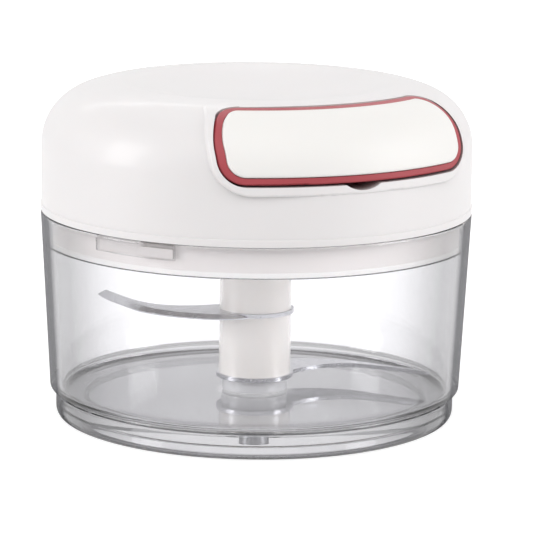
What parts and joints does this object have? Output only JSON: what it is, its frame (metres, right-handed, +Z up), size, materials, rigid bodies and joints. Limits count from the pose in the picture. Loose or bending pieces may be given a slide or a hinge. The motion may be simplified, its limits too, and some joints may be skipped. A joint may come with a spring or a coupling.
{
  "type": "pull cord garlic chopper",
  "caption": "Clear bowl with steel blades on a pin, under a domed twist-lock lid whose front handle pulls a cord from a sprung spool that spins the blades.",
  "frame": {"origin": "centre of the foot ring, on the surface the chopper stands on", "axes": "+Z up along the bowl, spool and blade axis; -Y the way the handle pulls; +X to the right of someone who faces the handle"},
  "size_m": [0.0842, 0.0844, 0.066],
  "materials": {
    "clear_bowl": "polished",
    "white_shell": "gloss",
    "red_tray": "satin",
    "white_hub": "satin",
    "clear_foot": "polished",
    "blade_steel": "ground",
    "fixing_steel": "zinc plated",
    "spring_steel": "blued",
    "inner_plastic": "moulded",
    "bearing_plastic": "moulded",
    "seal_rubber": "matte",
    "cord_fibre": "woven"
  },
  "bodies": {
    "bowl": {"bowl": "clear_bowl", "pivot_pin": "fixing_steel"},
    "seal": {"seal_ring": "seal_rubber"},
    "lid": {"lid_shell": "white_shell", "lid_base": "white_shell", "lid_screws": "fixing_steel", "spring_case": "inner_plastic", "spring_cover": "inner_plastic", "case_screws": "fixing_steel", "recoil_spring": "spring_steel", "spool_axle": "fixing_steel", "axle_screw": "fixing_steel", "retaining_washer": "fixing_steel", "top_washer": "bearing_plastic", "output_bush": "bearing_plastic", "cord_guide": "fixing_steel", "pull_cord_lead": "cord_fibre"},
    "spool": {"cord_spool": "inner_plastic", "drive_dog": "inner_plastic", "pull_cord_winding": "cord_fibre"},
    "handle": {"handle_base": "red_tray", "handle_cover": "white_shell", "handle_screws": "fixing_steel", "cord_knot": "cord_fibre", "pull_cord_run": "cord_fibre"},
    "blades": {"blade_shaft": "white_hub", "upper_sleeve": "white_hub", "lower_sleeve": "white_hub", "upper_blade": "blade_steel", "lower_blade": "blade_steel", "foot_collar": "clear_foot"}
  },
  "joints": [
    {"name": "lid_lift", "type": "slide", "parent": "bowl", "child": "seal", "axis": [0, 0, 1], "range_m": [0, 0.06]},
    {"name": "lid_twist", "type": "hinge", "parent": "seal", "child": "lid", "pos_m": [0, 0, 0.04], "axis": [0, 0, 1], "range_deg": [-14.2, 0]},
    {"name": "handle_pull", "type": "slide", "parent": "lid", "child": "handle", "axis": [0, -1, 0], "range_m": [0, 0.24], "stiffness_N_per_m": 20, "springref_m": -0.15, "deforming": ["pull_cord_run"]},
    {"name": "spool_spin", "type": "hinge", "parent": "lid", "child": "spool", "pos_m": [0, 0, 0.05], "axis": [0, 0, 1], "range_deg": [0, 1030], "deforming": ["recoil_spring", "pull_cord_winding"]},
    {"name": "blade_spin", "type": "hinge", "parent": "bowl", "child": "blades", "pos_m": [0, 0, 0.01], "axis": [0, 0, 1], "range_deg": [0, 1030]}
  ],
  "couplings": [
    {"joint": "spool_spin", "follows": "handle_pull", "rad_per_m": 74.627},
    {"joint": "blade_spin", "follows": "handle_pull", "rad_per_m": 74.627}
  ]
}
